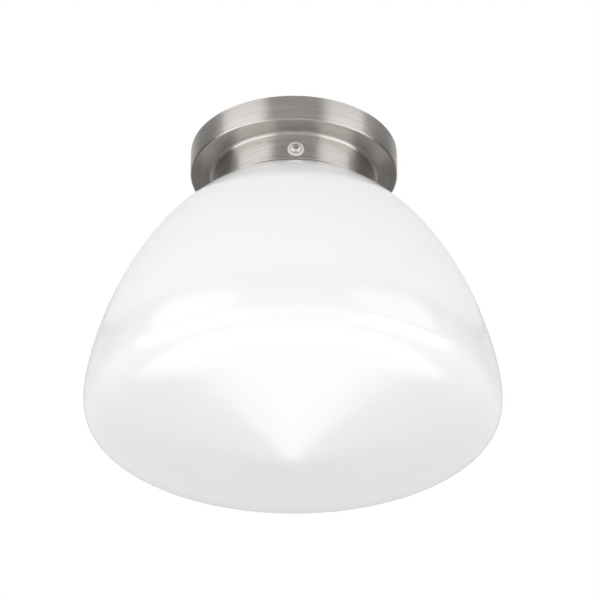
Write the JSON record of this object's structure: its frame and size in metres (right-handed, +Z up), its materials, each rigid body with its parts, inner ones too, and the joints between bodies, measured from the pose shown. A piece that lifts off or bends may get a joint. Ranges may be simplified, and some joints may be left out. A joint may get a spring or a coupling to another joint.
{
  "type": "flush mount ceiling light",
  "caption": "Flush mount ceiling light: stepped brushed canopy whose gallery clamps a closed opal glass shade with a rounded rim and shallow conical bottom, with lampholder and bulb inside.",
  "frame": {"origin": "centre of the ceiling plane on the lamp's axis, where the canopy's upper edge and the strap touch the ceiling", "axes": "+Z up into the ceiling along the lamp's axis, +X along the ceiling strap, -Y towards the front clamp screw"},
  "size_m": [0.3, 0.3, 0.2641],
  "materials": {
    "satin_nickel": "satin nickel plated, fine circular brushing",
    "bright_nickel": "bright nickel plated",
    "zinc_steel": "zinc plated",
    "nickel_shell": "rolled and nickel plated",
    "bulb_metal": "rolled, bright",
    "brass": "machined and pressed",
    "opal_glass": "blown opal glass, glossy",
    "bulb_diffuser": "frosted",
    "white_plastic": "moulded",
    "block_plastic": "moulded, milky",
    "black_plastic": "moulded, heat resistant",
    "black_glass": "black insulating glass",
    "porcelain": "glazed",
    "nylon": "moulded, pale",
    "lead_brown": "silicone sheath, brown",
    "lead_blue": "silicone sheath, blue",
    "lead_green": "silicone sheath, green and yellow"
  },
  "bodies": {
    "fixture": {"canopy": "satin_nickel", "canopy_nut_washers": "zinc_steel", "canopy_nuts": "zinc_steel", "carrier_plate": "zinc_steel", "ceiling_strap": "zinc_steel", "centre_contact": "brass", "clamp_weld_nuts": "zinc_steel", "earth_lead": "lead_green", "earth_nut": "brass", "earth_screw": "brass", "earth_tag": "brass", "earth_washer": "zinc_steel", "glass_shade": "opal_glass", "lampholder_base": "porcelain", "lampholder_cap": "black_plastic", "lampholder_nipple": "zinc_steel", "lampholder_shell": "nickel_shell", "lampholder_skirt": "black_plastic", "lampholder_terminal_screws": "zinc_steel", "lampholder_terminals": "brass", "lead_line": "lead_brown", "lead_neutral": "lead_blue", "nipple_bush": "black_plastic", "nipple_lock_washer": "zinc_steel", "nipple_nut": "zinc_steel", "side_contact": "brass", "strap_locknuts": "zinc_steel", "strap_screws": "zinc_steel", "terminal_block_barrels": "brass", "terminal_block_body": "block_plastic", "terminal_block_fixings": "zinc_steel", "terminal_block_screws": "zinc_steel"},
    "bulb": {"bulb_envelope": "bulb_diffuser", "bulb_collar": "white_plastic", "bulb_cap": "bulb_metal", "bulb_insulator": "black_glass", "bulb_contact": "brass"},
    "washer_front": {"clamp_washer_front": "nylon"},
    "screw_front": {"clamp_screw_front": "bright_nickel", "clamp_tip_front": "nylon"},
    "washer_right": {"clamp_washer_right": "nylon"},
    "screw_right": {"clamp_screw_right": "bright_nickel", "clamp_tip_right": "nylon"},
    "washer_left": {"clamp_washer_left": "nylon"},
    "screw_left": {"clamp_screw_left": "bright_nickel", "clamp_tip_left": "nylon"}
  },
  "joints": [
    {"name": "bulb_unscrew", "type": "slide", "parent": "fixture", "child": "bulb", "axis": [0, 0, -1], "range_m": [0, 0.026]},
    {"name": "clamp_front_travel", "type": "slide", "parent": "fixture", "child": "washer_front", "axis": [0, -1, 0], "range_m": [0, 0.0049]},
    {"name": "clamp_front_turn", "type": "hinge", "parent": "washer_front", "child": "screw_front", "pos_m": [0, -0.063, -0.0365], "axis": [0, -1, 0], "range_deg": [0, 2520]},
    {"name": "clamp_right_travel", "type": "slide", "parent": "fixture", "child": "washer_right", "axis": [0.866, 0.5, 0], "range_m": [0, 0.0049]},
    {"name": "clamp_right_turn", "type": "hinge", "parent": "washer_right", "child": "screw_right", "pos_m": [0.05456, 0.0315, -0.0365], "axis": [0.866, 0.5, 0], "range_deg": [0, 2520]},
    {"name": "clamp_left_travel", "type": "slide", "parent": "fixture", "child": "washer_left", "axis": [-0.866, 0.5, 0], "range_m": [0, 0.0049]},
    {"name": "clamp_left_turn", "type": "hinge", "parent": "washer_left", "child": "screw_left", "pos_m": [-0.05456, 0.0315, -0.0365], "axis": [-0.866, 0.5, 0], "range_deg": [0, 2520]}
  ],
  "couplings": [
    {"joint": "clamp_front_turn", "follows": "clamp_front_travel", "rad_per_m": 8975.9},
    {"joint": "clamp_right_turn", "follows": "clamp_right_travel", "rad_per_m": 8975.9},
    {"joint": "clamp_left_turn", "follows": "clamp_left_travel", "rad_per_m": 8975.9}
  ]
}
